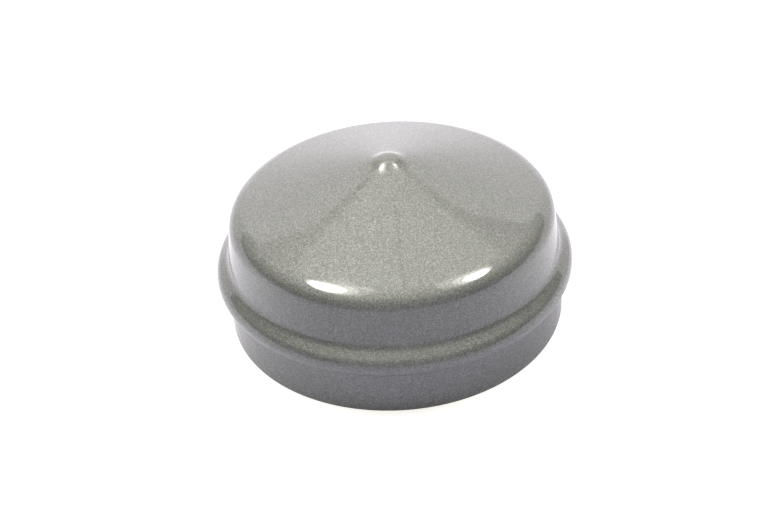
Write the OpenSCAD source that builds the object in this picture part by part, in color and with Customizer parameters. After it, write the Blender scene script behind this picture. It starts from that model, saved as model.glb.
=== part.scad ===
// Wheel cap: a closed sheet-metal cap for the middle of a wheel hub. The plain skirt is pressed
// into the hub's bore, and the hollow bead above it stops against the hub's face. The crown is a
// shallow cone that flares into a low nipple. Drawn from one disc of sheet, so the inside follows
// the outside.

/* [Sheet] */
// Thickness of the drawn sheet
sheet = 1.0; // [0.7:0.05:1.2]
// Rounding of the trimmed edge
edge_r = 0.3; // [0.1:0.05:0.5]

/* [Skirt] */
// Outer diameter of the skirt, which is the press fit in the hub
skirt_d = 60; // [50:0.5:75]

/* [Bead] */
// Height of the bead's middle above the trimmed edge
bead_h = 10.3; // [8:0.1:14]
// How far the bead stands out past the skirt
bead_out = 1.7; // [1:0.1:2.4]
// Outer radius of the bead's round section
bead_r = 2.3; // [2:0.05:3]
// Slope of the straight run on top of the bead, in degrees
bead_slope = 40; // [36:0.5:46]
// Fillet between the skirt and the bead
lower_fillet = 0.5; // [0.2:0.05:1.2]
// Fillet between the bead and the side wall
upper_fillet = 2.2; // [1:0.1:3.2]

/* [Side wall] */
// How much smaller the side wall's radius is at its top than the skirt's
wall_inset = 1.45; // [1:0.05:2.4]
// Height of the side wall's top above the trimmed edge, where the shoulder starts
wall_h = 19.5; // [18:0.1:24]
// Draft of the side wall, in degrees
wall_draft = 7.5; // [4:0.5:10]

/* [Shoulder] */
// Outer radius of the shoulder at the side wall
shoulder_r = 3.3; // [2:0.1:4.5]
// Slope at which the shoulder passes into the wider bend of the crown's rim, in degrees
shoulder_slope = 35; // [28:0.5:50]
// Outer radius of the wider bend at the crown's rim
rim_r = 7.0; // [4:0.5:12]

/* [Crown] */
// Slope of the crown, in degrees
crown_slope = 18.3; // [12:0.1:24]

/* [Nipple] */
// Hollow radius of the flare between the crown and the nipple
flare_r = 10; // [4:0.5:20]
// Slope of the nipple where it is steepest, in degrees
tip_slope = 31; // [26:0.5:45]
// Outer radius of the nipple's tip
tip_r = 4.3; // [3:0.1:6]

/* [Hidden] */

// Largest turn of an outline between two neighbouring points, in degrees
arc_step = 4;
// Facets of a full turn in a preview
turn_fn = 180;
// Share of the sheet that the rounding of each side of the trimmed edge may take
edge_share = 0.4;

skirt_r = skirt_d / 2;
edge = min(edge_r, sheet * edge_share);
bead_mid = [skirt_r + bead_out - bead_r, bead_h];
bead_normal = 90 - bead_slope;
bead_top = bead_mid + bead_r * dir(bead_normal);
wall_top = [skirt_r - wall_inset, wall_h];
shoulder_normal = 90 - shoulder_slope;
crown_normal = 90 - crown_slope;
tip_normal = 90 - tip_slope;
shoulder_mid = wall_top - shoulder_r * dir(wall_draft);
rim_mid = shoulder_mid + (shoulder_r - rim_r) * dir(shoulder_normal);
crown_foot = rim_mid + rim_r * dir(crown_normal);

lower_mid = round_fillet_mid([skirt_r, 0], 0, bead_mid, bead_r, lower_fillet);
upper_mid = fillet_mid(bead_top, bead_normal, wall_top, wall_draft, upper_fillet);
bead_low = bearing(bead_mid, lower_mid);

// The flare touches the crown's line and the tip, and the tip's middle is on the axis
tip_reach = (tip_r + flare_r) * dir(tip_normal);
tip_h = ((crown_foot - tip_reach) * dir(crown_normal) + flare_r) / sin(crown_normal);
tip_mid = [0, tip_h];
flare_mid = tip_mid + tip_reach;

// Unit vector at an angle from the radial direction, turning up towards the axis
function dir(angle) = [cos(angle), sin(angle)];

// Angle at which one point sees another
function bearing(from, to) = atan2(to.y - from.y, to.x - from.x);

// Middle of the fillet of radius r between two straight lines. Each line passes through a point,
// with its outward normal at an angle.
function fillet_mid(p, p_normal, q, q_normal, r) =
    let (p_out = p * dir(p_normal) + r)
    let (q_out = q * dir(q_normal) + r)
    let (x = p_out * sin(q_normal) - q_out * sin(p_normal))
    let (y = q_out * cos(p_normal) - p_out * cos(q_normal))
    [x, y] / sin(q_normal - p_normal);

// Middle of the fillet of radius r between a straight line, which passes through p with its
// outward normal at an angle, and the outside of a circle further along the outline
function round_fillet_mid(p, p_normal, mid, mid_r, r) =
    let (along = [-sin(p_normal), cos(p_normal)])
    let (start = p + r * dir(p_normal))
    let (back = (start - mid) * along)
    let (rest = (start - mid) * (start - mid) - pow(mid_r + r, 2))
    start + (-back - sqrt(back * back - rest)) * along;

// Points of a bend whose outward normal turns from angle a to angle b. A negative radius is a
// hollow bend, with its middle outside the metal. depth is how far below the outer skin it lies.
function bend(mid, r, a, b, depth) =
    let (steps = max(2, ceil(abs(b - a) / arc_step)))
    [for (i = [0:steps]) mid + (r - depth) * dir(a + (b - a) * i / steps)];

// The skin from the skirt's lower end to the tip of the nipple
function skin(depth) = concat(
    bend(lower_mid, -lower_fillet, 0, bead_low, depth),
    bend(bead_mid, bead_r, bead_low, bead_normal, depth),
    bend(upper_mid, -upper_fillet, bead_normal, wall_draft, depth),
    bend(shoulder_mid, shoulder_r, wall_draft, shoulder_normal, depth),
    bend(rim_mid, rim_r, shoulder_normal, crown_normal, depth),
    bend(flare_mid, -flare_r, crown_normal, tip_normal, depth),
    bend(tip_mid, tip_r, tip_normal, 90, depth)
);

// The trimmed edge, rounded on both sides, from the inside to the outside
function trimmed_edge() = concat(
    bend([skirt_r - sheet + edge, edge], edge, 180, 270, 0),
    bend([skirt_r - edge, edge], edge, 270, 360, 0)
);

function reversed(list) = [for (i = [len(list) - 1:-1:0]) list[i]];

module section() {
    polygon(concat(trimmed_edge(), skin(0), reversed(skin(sheet))));
}

module wheel_cap() {
    color([0.56, 0.56, 0.53])
        rotate_extrude($fn = turn_fn)
            section();
}

wheel_cap();
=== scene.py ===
import math

import bmesh
import bpy
from mathutils import Matrix, Vector


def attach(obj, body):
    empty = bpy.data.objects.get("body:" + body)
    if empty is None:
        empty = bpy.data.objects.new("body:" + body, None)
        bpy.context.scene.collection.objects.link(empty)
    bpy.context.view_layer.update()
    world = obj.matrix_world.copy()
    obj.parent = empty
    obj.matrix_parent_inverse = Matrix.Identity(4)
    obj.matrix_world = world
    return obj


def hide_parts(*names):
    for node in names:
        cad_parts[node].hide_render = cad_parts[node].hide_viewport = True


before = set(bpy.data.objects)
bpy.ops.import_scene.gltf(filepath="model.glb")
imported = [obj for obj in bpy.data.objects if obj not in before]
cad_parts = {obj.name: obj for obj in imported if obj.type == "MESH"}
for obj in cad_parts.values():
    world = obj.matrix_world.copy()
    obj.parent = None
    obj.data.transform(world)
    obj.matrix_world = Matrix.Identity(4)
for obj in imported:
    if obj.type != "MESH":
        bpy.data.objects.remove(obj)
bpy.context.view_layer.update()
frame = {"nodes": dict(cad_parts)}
mm = 0.001
origin = Vector((0, 0, 0))
print("frame loaded:", ", ".join(frame["nodes"]))


def newPiece(name, bm):  # a bmesh in millimetres becomes an object in metres
    bmesh.ops.scale(bm, vec=(mm, mm, mm), verts=bm.verts)
    mesh = bpy.data.meshes.new(name)
    bm.to_mesh(mesh)
    bm.free()
    piece = bpy.data.objects.new(name, mesh)
    bpy.context.scene.collection.objects.link(piece)
    return piece


# Shader maths: a socket for writing sums and products, and the bench on which nodes are made
class Socket:
    def __init__(self, bench, link):
        self.bench = bench
        self.link = link

    def __add__(self, other):
        return self.bench.node("ShaderNodeMath", {"operation": "ADD"}, {0: self, 1: other})

    def __mul__(self, other):
        return self.bench.node("ShaderNodeMath", {"operation": "MULTIPLY"}, {0: self, 1: other})

    __radd__ = __add__
    __rmul__ = __mul__


class Bench:
    def __init__(self, owner):
        owner.use_nodes = True
        self.tree = owner.node_tree
        self.tree.nodes.clear()

    def node(self, kind, settings=None, sockets=None, output=0):
        made = self.tree.nodes.new(kind)
        for name, value in (settings or {}).items():
            setattr(made, name, value)
        for name, value in (sockets or {}).items():
            if isinstance(value, Socket):
                self.tree.links.new(value.link, made.inputs[name])
            else:
                made.inputs[name].default_value = value
        return Socket(self, made.outputs[output]) if made.outputs else None

    def vector(self, operation, sockets, output=0):
        return self.node("ShaderNodeVectorMath", {"operation": operation}, sockets, output)

    def part(self, vector, axis):
        return self.node("ShaderNodeSeparateXYZ", {}, {"Vector": vector}, axis)

    def unsigned(self, value):
        return self.node("ShaderNodeMath", {"operation": "ABSOLUTE"}, {0: value})

    def softStep(self, value, start, end, before, after):
        return self.node("ShaderNodeMapRange", {"interpolation_type": "SMOOTHSTEP"}, {
            "Value": value, "From Min": start, "From Max": end, "To Min": before, "To Max": after})

    def mixed(self, share, first, second):
        return self.node("ShaderNodeMix", {"data_type": "RGBA"}, {0: share, 6: first, 7: second}, 2)


def rgb(red, green, blue):
    return (red, green, blue, 1)


# The cap's own sizes, in millimetres and degrees, as in the CAD source
cap = {
    "sheet": 1.0,
    "edge": 0.3,  # rounding of the trimmed edge
    "skirtR": 30.0,
    "beadH": 10.3,
    "beadOut": 1.7,
    "beadR": 2.3,
    "beadSlope": 40,  # straight run on top of the bead
    "lowerFillet": 0.5,
    "upperFillet": 2.2,
    "wallInset": 1.45,
    "wallH": 19.5,
    "wallDraft": 7.5,
    "shoulderR": 3.3,
    "shoulderSlope": 35,  # where the shoulder passes into the wider bend at the crown's rim
    "rimBendR": 7.0,
    "crownSlope": 18.3,
    "flareR": 10.0,  # hollow bend between the crown and the nipple
    "tipSlope": 31,  # steepest part of the nipple
    "tipR": 4.3,
    "bendStep": 3,  # turn of the section between two of its points
    "runStep": 1.2,  # length of a straight stretch between two points
    "aroundSteps": 288,
    "weld": 0.0005,  # points nearer than this are one
    "trimSteps": 3,  # faces across the rounding of the trimmed edge
    "trimAngle": 50,  # edges sharper than this are rounded
}


def toward(angle):  # unit vector in the section's plane, turning from the radius up to the axis
    turn = math.radians(angle)
    return Vector((math.cos(turn), 0, math.sin(turn)))


def bearing(start, end):
    return math.degrees(math.atan2(end.z - start.z, end.x - start.x))


# Middle of the fillet between two straight lines, each given by a point and its outward normal
def filletMid(point, normal, other, otherNormal, filletR):
    way, otherWay = toward(normal), toward(otherNormal)
    out = point.dot(way) + filletR
    otherOut = other.dot(otherWay) + filletR
    across = out * otherWay.z - otherOut * way.z
    high = otherOut * way.x - out * otherWay.x
    return Vector((across, 0, high)) / math.sin(math.radians(otherNormal - normal))


# The same between a straight line and a round bend further along the outline
def roundFilletMid(point, normal, roundMid, roundR, filletR):
    along = toward(normal + 90)
    start = point + filletR * toward(normal)
    gap = start - roundMid
    back = gap.dot(along)
    inside = math.sqrt(back ** 2 - gap.length_squared + (roundR + filletR) ** 2)
    return start - (back + inside) * along


def sectionBends():  # each bend: middle, radius (negative for a hollow one), first and last angle
    size = cap
    shoulderNormal = 90 - size["shoulderSlope"]
    crownNormal = 90 - size["crownSlope"]
    skirtFoot = Vector((size["skirtR"], 0, 0))
    beadMid = Vector((size["skirtR"] + size["beadOut"] - size["beadR"], 0, size["beadH"]))
    wallTop = Vector((size["skirtR"] - size["wallInset"], 0, size["wallH"]))
    shoulderMid = wallTop - size["shoulderR"] * toward(size["wallDraft"])
    rimBendMid = shoulderMid + (size["shoulderR"] - size["rimBendR"]) * toward(shoulderNormal)
    crownFoot = rimBendMid + size["rimBendR"] * toward(crownNormal)
    tipNormal = 90 - size["tipSlope"]
    reach = size["tipR"] + size["flareR"]
    crownOut = toward(crownNormal)
    flareReach = reach * toward(tipNormal)
    tipLevel = ((crownFoot - flareReach).dot(crownOut) + size["flareR"]) / crownOut.z
    tipMid = Vector((0, 0, tipLevel))
    flareMid = tipMid + flareReach
    beadNormal = 90 - size["beadSlope"]
    beadTop = beadMid + size["beadR"] * toward(beadNormal)
    lowerMid = roundFilletMid(skirtFoot, 0, beadMid, size["beadR"], size["lowerFillet"])
    upperMid = filletMid(beadTop, beadNormal, wallTop, size["wallDraft"], size["upperFillet"])
    beadLow = bearing(beadMid, lowerMid)
    return skirtFoot, (
        (lowerMid, -size["lowerFillet"], 0, beadLow),
        (beadMid, size["beadR"], beadLow, beadNormal),
        (upperMid, -size["upperFillet"], beadNormal, size["wallDraft"]),
        (shoulderMid, size["shoulderR"], size["wallDraft"], shoulderNormal),
        (rimBendMid, size["rimBendR"], shoulderNormal, crownNormal),
        (flareMid, -size["flareR"], crownNormal, tipNormal),
        (tipMid, size["tipR"], tipNormal, 90),
    )


def straightRun(bm, last, end, longest):
    start = last.co.copy()
    spare = 0.01  # share of a step that is too short for a step of its own
    steps = math.ceil((end - start).length / longest - spare)
    for step in range(steps):
        last = bmesh.ops.extrude_vert_indiv(bm, verts=[last])["verts"][0]
        last.co = start.lerp(end, (step + 1) / steps)
    return last


def roundBend(bm, last, middle, axis, turn, finest):
    made = bmesh.ops.spin(bm, geom=[last], cent=middle, axis=axis, angle=math.radians(turn),
                          steps=max(2, math.ceil(abs(turn) / finest)))
    return next(part for part in made["geom_last"] if isinstance(part, bmesh.types.BMVert))


def makeCap():
    bm = bmesh.new()
    foot, bends = sectionBends()
    last = bm.verts.new(foot)
    for middle, radius, first, final in bends:
        last = straightRun(bm, last, middle + radius * toward(first), cap["runStep"])
        last = roundBend(bm, last, middle, (0, -1, 0), final - first, cap["bendStep"])
    last.co.x = 0
    bmesh.ops.spin(bm, geom=bm.verts[:] + bm.edges[:], cent=origin, axis=(0, 0, 1),
                   angle=math.tau, steps=cap["aroundSteps"], use_merge=True)
    bmesh.ops.remove_doubles(bm, verts=bm.verts, dist=cap["weld"])
    bmesh.ops.recalc_face_normals(bm, faces=bm.faces)
    for face in bm.faces:
        face.smooth = True
    piece = newPiece("pressedCap", bm)
    wall = piece.modifiers.new("sheet", "SOLIDIFY")
    wall.thickness = cap["sheet"] * mm
    wall.offset = -1
    wall.use_even_offset = True
    wall.material_offset = 1
    wall.material_offset_rim = 1
    trim = piece.modifiers.new("trimmedEdge", "BEVEL")
    trim.width = cap["edge"] * mm
    trim.segments = cap["trimSteps"]
    trim.limit_method = "ANGLE"
    trim.angle_limit = math.radians(cap["trimAngle"])
    shade = piece.modifiers.new("evenShading", "WEIGHTED_NORMAL")
    shade.keep_sharp = True
    return piece


# The paint: flakes lying nearly flat in a grey base, under a smooth clear coat
paint = {
    "grey": (0.268, 0.2725, 0.253),
    "roughness": 0.66,
    "flake": 0.115,  # width of a flake, millimetres
    "flakeTilt": 0.05,  # how far a flake leans, as a share of upright
    "flakeShade": 0.85,  # from the darkest flake to the lightest, as a share of the grey
    "coatRoughness": 0.045,
    "coatIor": 1.6,
}


def clearCoatedPaint():
    material = bpy.data.materials.new("clearCoatedPaint")
    bench = Bench(material)
    place = bench.node("ShaderNodeTexCoord", output="Object")
    flakes = bench.node("ShaderNodeTexVoronoi", {}, {
        "Vector": place, "Scale": 1 / (paint["flake"] * mm)}, output="Color")
    lean = bench.vector("MULTIPLY_ADD", {
        0: flakes, 1: (2 * paint["flakeTilt"],) * 3, 2: (-paint["flakeTilt"],) * 3})
    upright = bench.node("ShaderNodeNewGeometry", output="Normal")
    normal = bench.vector("NORMALIZE", {0: bench.vector("ADD", {0: upright, 1: lean})})
    pick = bench.part(flakes, "X")
    squareMean = 1 / 3  # of an even pick from 0 to 1, so the flakes leave the grey as it is
    shade = pick * pick * paint["flakeShade"] + (1 - paint["flakeShade"] * squareMean)
    colour = bench.vector("SCALE", {0: paint["grey"], "Scale": shade})
    shader = bench.node("ShaderNodeBsdfPrincipled", {}, {
        "Base Color": colour,
        "Metallic": 1.0,
        "Roughness": paint["roughness"],
        "Normal": normal,
        "Coat Weight": 1.0,
        "Coat Roughness": paint["coatRoughness"],
        "Coat IOR": paint["coatIor"],
    })
    bench.node("ShaderNodeOutputMaterial", {}, {"Surface": shader})
    return material


# Inside, only the primer and some overspray reach the sheet
lining = {
    "dark": (0.09, 0.09, 0.088),
    "pale": (0.16, 0.16, 0.155),
    "patch": 6.0,  # width of a patch of overspray, millimetres
    "detail": 4.0,  # how many times its edge breaks into finer ones
    "roughness": 0.62,
}


def primedInside():
    material = bpy.data.materials.new("primedInside")
    bench = Bench(material)
    place = bench.node("ShaderNodeTexCoord", output="Object")
    cloud = bench.node("ShaderNodeTexNoise", {}, {
        "Vector": place, "Scale": 1 / (lining["patch"] * mm), "Detail": lining["detail"]})
    shader = bench.node("ShaderNodeBsdfPrincipled", {}, {
        "Base Color": bench.mixed(cloud, rgb(*lining["dark"]), rgb(*lining["pale"])),
        "Roughness": lining["roughness"],
    })
    bench.node("ShaderNodeOutputMaterial", {}, {"Surface": shader})
    return material


pressedCap = makeCap()
pressedCap.data.materials.append(clearCoatedPaint())
pressedCap.data.materials.append(primedInside())
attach(pressedCap, "root")
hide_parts("wheel_cap")
print("cap made:", len(pressedCap.data.polygons), "faces before its modifiers")


# A white sweep, in millimetres: the floor turns up into a wall behind, and the wings at its sides
# rise towards that wall
sweep = {
    "halfWidth": 530,
    "front": 2500,  # how far the floor comes forward
    "back": 700,  # distance of the wall
    "bendR": 150,
    "wallH": 1000,
    "sink": 0.02,  # gap under the trimmed edge
    "wingAtSide": 0.15,  # height of a wing beside the object, as a share of its distance
    "wingGrowth": 1.5,  # how fast it rises towards the wall
    "wingStep": 100,  # longest stretch of a wing, and of the floor and the wall
    "flatStep": 500,
    "bendStep": 6,  # turn of the bend between two of its points, degrees
    "matt": (0.44, 0.426, 0.58),  # a cool grey, which evens out the warm lamps
    "shown": 0.85,  # light that only the camera sees, so that the paper shows white
    "mirroredFront": 0.3,  # light that only reflections see, on the floor before the object
    "mirroredBehind": 0.92,  # and the same behind it
    "litFrom": -45,  # where the second takes over from the first, and where it is full
    "litBy": 42,
    "sooner": 0.42,  # how much further forward that is to the sides
    "footX": 6,  # round here the glow that reflections see is dimmer, a painted shadow of the object where it stands
    "footY": -4,
    "footR": 27,
    "footSoft": 16,
    "footShare": 0.56,  # share of the glow that the painted shadow leaves there
    "warmth": (1.0, 0.985, 0.88),  # colour of these lights
}


def whitePaper():
    material = bpy.data.materials.new("whitePaper")
    bench = Bench(material)
    toCamera = bench.node("ShaderNodeLightPath", output="Is Camera Ray")
    toGloss = bench.node("ShaderNodeLightPath", output="Is Glossy Ray")
    place = bench.node("ShaderNodeTexCoord", output="Object")
    depth = bench.part(place, "Y")
    aside = bench.unsigned(bench.part(place, "X"))
    lit = bench.softStep(depth + aside * sweep["sooner"], sweep["litFrom"] * mm,
                         sweep["litBy"] * mm, sweep["mirroredFront"], sweep["mirroredBehind"])
    foot = Vector((sweep["footX"], sweep["footY"], -sweep["sink"])) * mm
    fromFoot = bench.vector("DISTANCE", {0: place, 1: foot}, output="Value")
    # painted shadow: the glow that reflections see is dimmed round the object's foot
    clear = bench.softStep(fromFoot, sweep["footR"] * mm,
                           (sweep["footR"] + sweep["footSoft"]) * mm, sweep["footShare"], 1)
    glow = bench.node("ShaderNodeEmission", {}, {
        "Color": rgb(*sweep["warmth"]),
        "Strength": toCamera * sweep["shown"] + toGloss * lit * clear})
    matt = bench.node("ShaderNodeBsdfDiffuse", {}, {"Color": rgb(*sweep["matt"])})
    both = bench.node("ShaderNodeAddShader", {}, {0: matt, 1: glow})
    bench.node("ShaderNodeOutputMaterial", {}, {"Surface": both})
    return material


def pulled(bm, edges, offset):  # edges are pulled into faces; the new points come back
    made = bmesh.ops.extrude_edge_only(bm, edges=edges)["geom"]
    points = [part for part in made if isinstance(part, bmesh.types.BMVert)]
    bmesh.ops.translate(bm, vec=offset, verts=points)
    return points


def makeSweep():
    bm = bmesh.new()
    wide, turn = sweep["halfWidth"], sweep["bendR"]
    for side in (-1, 1):
        first = bm.verts.new((side * wide, -sweep["front"], 0))
        before = set(bm.edges)
        straightRun(bm, first, Vector((side * wide, sweep["back"], 0)), sweep["wingStep"])
        for point in pulled(bm, [edge for edge in bm.edges if edge not in before], (0, 0, 0)):
            growth = math.exp(sweep["wingGrowth"] * point.co.y / wide)
            point.co.z = wide * sweep["wingAtSide"] * growth
    first = bm.verts.new((-wide, -sweep["front"], 0))
    before = set(bm.edges)
    bendMid = Vector((-wide, sweep["back"] - turn, turn))
    last = straightRun(bm, first, Vector((-wide, bendMid.y, 0)), sweep["flatStep"])
    last = roundBend(bm, last, bendMid, (1, 0, 0), 90, sweep["bendStep"])
    straightRun(bm, last, Vector((-wide, sweep["back"], sweep["wallH"])), sweep["flatStep"])
    pulled(bm, [edge for edge in bm.edges if edge not in before], (2 * wide, 0, 0))
    bmesh.ops.translate(bm, vec=(0, 0, -sweep["sink"]), verts=bm.verts)
    bmesh.ops.recalc_face_normals(bm, faces=bm.faces)
    piece = newPiece("whiteSweep", bm)
    piece.data.materials.append(whitePaper())


makeSweep()
print("sweep made")


# Two soft boxes hang level overhead, one on each side, each with a glow and a haze on the screen
# round it. Two faint broad lamps hang behind the object, with a narrow gap between them that shows
# as a dark line on the crown. All is in metres and degrees, and a radiance of 1 is white.
lampTint = (1.0, 0.985, 0.9)
lamps = {
    "leftBox": {"place": (-0.43, 0.05, 1.0), "turn": -15, "long": 0.40, "broad": 0.30,
                "radiance": 12.5, "shape": "ELLIPSE"},
    "leftGlow": {"place": (-0.40, 0.05, 1.01), "turn": -15, "long": 0.50, "broad": 0.39,
                 "radiance": 3.7, "shape": "ELLIPSE"},
    "leftHaze": {"place": (-0.36, 0.04, 1.02), "turn": -15, "long": 0.62, "broad": 0.50,
                 "radiance": 2.4, "shape": "ELLIPSE"},
    "rightBox": {"place": (0.54, 0.04, 1.0), "turn": 25, "long": 0.32, "broad": 0.25,
                 "radiance": 16, "shape": "ELLIPSE"},
    "rightGlow": {"place": (0.51, 0.04, 1.01), "turn": 25, "long": 0.42, "broad": 0.36,
                  "radiance": 4.7, "shape": "ELLIPSE"},
    "rightHaze": {"place": (0.47, 0.03, 1.02), "turn": 25, "long": 0.56, "broad": 0.49,
                  "radiance": 2.4, "shape": "ELLIPSE"},
    "overheadLeft": {"place": (-0.242, 0.36, 1.1), "turn": 0, "long": 0.52, "broad": 0.54,
                     "radiance": 0.65, "shape": "RECTANGLE"},
    "overheadRight": {"place": (0.307, 0.36, 1.1), "turn": 0, "long": 0.52, "broad": 0.51,
                      "radiance": 0.65, "shape": "RECTANGLE"},
}


def hangLamp(name, values):
    light = bpy.data.lights.new(name, "AREA")
    light.shape = values["shape"]
    light.size = values["broad"]
    light.size_y = values["long"]
    light.color = lampTint
    area = values["long"] * values["broad"] * (math.pi / 4 if light.shape == "ELLIPSE" else 1)
    light.energy = values["radiance"] * math.pi * area
    lamp = bpy.data.objects.new(name, light)
    lamp.location = values["place"]
    lamp.rotation_euler.z = math.radians(values["turn"])
    bpy.context.scene.collection.objects.link(lamp)


for lampName, lampValues in lamps.items():
    hangLamp(lampName, lampValues)

# The room round the sweep is dim, and dimmer to the sides; the camera sees it white
room = {
    "dim": (0.35, 0.35, 0.365),
    "sideShare": 0.1,  # share of that which is left to the sides
    "sideFrom": 0.4,  # how far aside it starts to get dimmer, and is dimmest; 1 is straight aside
    "sideTo": 0.8,
    "white": (1.0, 1.0, 1.0),
}


def lightRoom():
    world = bpy.data.worlds.new("studioRoom")
    bpy.context.scene.world = world
    bench = Bench(world)
    toCamera = bench.node("ShaderNodeLightPath", output="Is Camera Ray")
    way = bench.node("ShaderNodeTexCoord", output="Generated")
    aside = bench.unsigned(bench.part(way, "X"))
    share = bench.softStep(aside, room["sideFrom"], room["sideTo"], 1, room["sideShare"])
    dim = bench.vector("SCALE", {0: room["dim"], "Scale": share})
    colour = bench.mixed(toCamera, dim, rgb(*room["white"]))
    shader = bench.node("ShaderNodeBackground", {}, {"Color": colour, "Strength": 1.0})
    bench.node("ShaderNodeOutputWorld", {}, {"Surface": shader})


lightRoom()
print("lamps and room set")

# The camera, placed as in the photograph
shot = {
    "elevation": 36.55,
    "roll": -3.87,
    "distance": 257.0,  # millimetres
    "shiftRight": -0.80,
    "shiftUp": 7.36,
    "lens": 64.6,
    "filmWidth": 36,
    "clipStart": 0.01,  # metres
    "clipEnd": 20,
}


def placeCamera():
    tilt, roll = math.radians(shot["elevation"]), math.radians(shot["roll"])
    ahead = Vector((0, math.cos(tilt), -math.sin(tilt)))
    right = Vector((1, 0, 0))
    up = right.cross(ahead)
    place = -ahead * shot["distance"] + right * shot["shiftRight"] + up * shot["shiftUp"]
    turned = Matrix((right * math.cos(roll) + up * math.sin(roll),
                     up * math.cos(roll) - right * math.sin(roll), -ahead)).transposed()
    data = bpy.data.cameras.new("photoCamera")
    data.lens = shot["lens"]
    data.sensor_width = shot["filmWidth"]
    data.clip_start = shot["clipStart"]
    data.clip_end = shot["clipEnd"]
    camera = bpy.data.objects.new("photoCamera", data)
    camera.matrix_world = Matrix.Translation(place * mm) @ turned.to_4x4()
    bpy.context.scene.collection.objects.link(camera)
    bpy.context.scene.camera = camera


placeCamera()
bpy.context.scene.view_settings.view_transform = "Standard"
print("camera placed")
